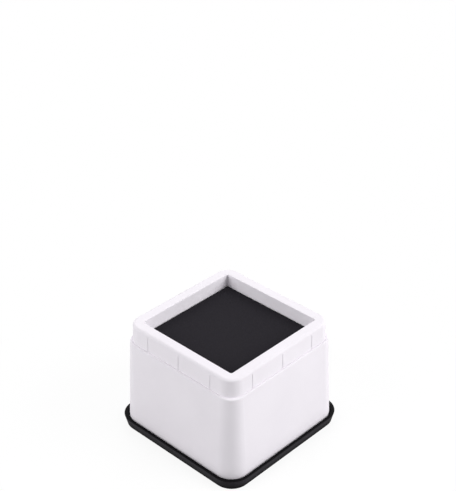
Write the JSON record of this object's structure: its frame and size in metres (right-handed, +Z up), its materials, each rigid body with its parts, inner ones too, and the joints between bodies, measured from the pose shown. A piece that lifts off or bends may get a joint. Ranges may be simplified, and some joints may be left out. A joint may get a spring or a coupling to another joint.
{
  "type": "bed riser",
  "caption": "Square stackable bed riser: a tapered white shell with a ribbed stacking rim, a padded leg recess in its top and a black rubber foot with a flared lip.",
  "frame": {"origin": "on the floor under the middle of the riser", "axes": "+Z up; the four like sides face +X, -X, +Y and -Y"},
  "size_m": [0.1148, 0.1148, 0.0854],
  "materials": {
    "white_shell": "fine satin moulding",
    "leg_pad": "matt foam rubber",
    "foot_rubber": "satin moulded rubber"
  },
  "bodies": {
    "root": {"riser_body": "white_shell", "top_pad": "leg_pad", "rubber_foot": "foot_rubber"}
  },
  "joints": []
}
